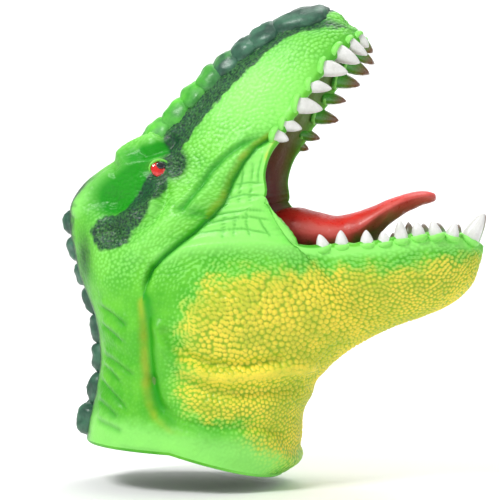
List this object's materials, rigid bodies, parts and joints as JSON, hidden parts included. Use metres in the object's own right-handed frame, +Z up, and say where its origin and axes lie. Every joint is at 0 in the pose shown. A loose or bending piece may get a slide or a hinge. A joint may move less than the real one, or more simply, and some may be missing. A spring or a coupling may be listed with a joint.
{
  "type": "hand puppet",
  "caption": "Soft rubber dinosaur hand puppet with an opening mouth, conical teeth, a free tongue and a hand opening under the neck.",
  "frame": {"origin": "centre of the hand opening under the neck", "axes": "+X along the snout, +Y to the puppet's left, +Z up"},
  "size_m": [0.1669, 0.072, 0.187],
  "materials": {
    "skin_green": "satin rubber with a fine raised pebble",
    "belly_yellow": "satin rubber, green with sprayed yellow pebbles",
    "scute_dark": "satin rubber, dark sprayed paint",
    "mouth_lining": "satin rubber, olive green to maroon brown",
    "tongue_red": "glossy red paint on rubber",
    "tooth_white": "glossy white paint on rubber",
    "eye_red": "glossy red paint on rubber",
    "pupil_black": "glossy black paint on rubber"
  },
  "bodies": {
    "neck": {"cuff_band": "belly_yellow", "neck_sleeve": "skin_green", "neck_scutes": "scute_dark", "nape_scutes": "scute_dark", "nape_fold": "skin_green", "jowl_fold": "belly_yellow", "mouth_back": "mouth_lining", "cheek_web_left": "mouth_lining", "cheek_web_right": "mouth_lining"},
    "head": {"head_skin": "skin_green", "palate_lining": "mouth_lining", "eye_left": "eye_red", "eye_right": "eye_red", "pupil_left": "pupil_black", "pupil_right": "pupil_black", "brow_left": "skin_green", "brow_right": "skin_green", "nostril_left": "skin_green", "nostril_right": "skin_green", "snout_scutes_left": "scute_dark", "snout_scutes_right": "scute_dark", "upper_tooth_left_1": "tooth_white", "upper_tooth_left_2": "tooth_white", "upper_tooth_left_3": "tooth_white", "upper_tooth_left_4": "tooth_white", "upper_tooth_left_5": "tooth_white", "upper_tooth_left_6": "tooth_white", "upper_tooth_left_7": "tooth_white", "upper_tooth_left_8": "tooth_white", "upper_tooth_right_1": "tooth_white", "upper_tooth_right_2": "tooth_white", "upper_tooth_right_3": "tooth_white", "upper_tooth_right_4": "tooth_white", "upper_tooth_right_5": "tooth_white", "upper_tooth_right_6": "tooth_white", "upper_tooth_right_7": "tooth_white", "upper_tooth_right_8": "tooth_white"},
    "jaw": {"jaw_skin": "belly_yellow", "mouth_floor": "mouth_lining", "tongue_root": "tongue_red", "lower_tooth_left_1": "tooth_white", "lower_tooth_left_2": "tooth_white", "lower_tooth_left_3": "tooth_white", "lower_tooth_left_4": "tooth_white", "lower_tooth_left_5": "tooth_white", "lower_tooth_left_6": "tooth_white", "lower_tooth_left_7": "tooth_white", "lower_tooth_left_8": "tooth_white", "lower_tooth_left_9": "tooth_white", "lower_tooth_right_1": "tooth_white", "lower_tooth_right_2": "tooth_white", "lower_tooth_right_3": "tooth_white", "lower_tooth_right_4": "tooth_white", "lower_tooth_right_5": "tooth_white", "lower_tooth_right_6": "tooth_white", "lower_tooth_right_7": "tooth_white", "lower_tooth_right_8": "tooth_white", "lower_tooth_right_9": "tooth_white"},
    "tongue_tip": {"tongue_tip": "tongue_red"}
  },
  "joints": [
    {"name": "head_flex", "type": "hinge", "parent": "neck", "child": "head", "pos_m": [-0.012, 0, 0.095], "axis": [0, -1, 0], "range_deg": [-30, 6], "stiffness_Nm_per_rad": 1.2, "deforming": ["nape_fold", "mouth_back", "cheek_web_left", "cheek_web_right"]},
    {"name": "jaw_flex", "type": "hinge", "parent": "neck", "child": "jaw", "pos_m": [0.039, 0, 0.068], "axis": [0, 1, 0], "range_deg": [-5, 8], "stiffness_Nm_per_rad": 1.2, "deforming": ["jowl_fold"]},
    {"name": "tongue_flex", "type": "hinge", "parent": "jaw", "child": "tongue_tip", "pos_m": [0.07, 0, 0.085], "axis": [0, -1, 0], "range_deg": [-8, 2], "stiffness_Nm_per_rad": 0.05}
  ],
  "couplings": [
    {"joint": "tongue_flex", "follows": "head_flex", "ratio": 0.25}
  ]
}
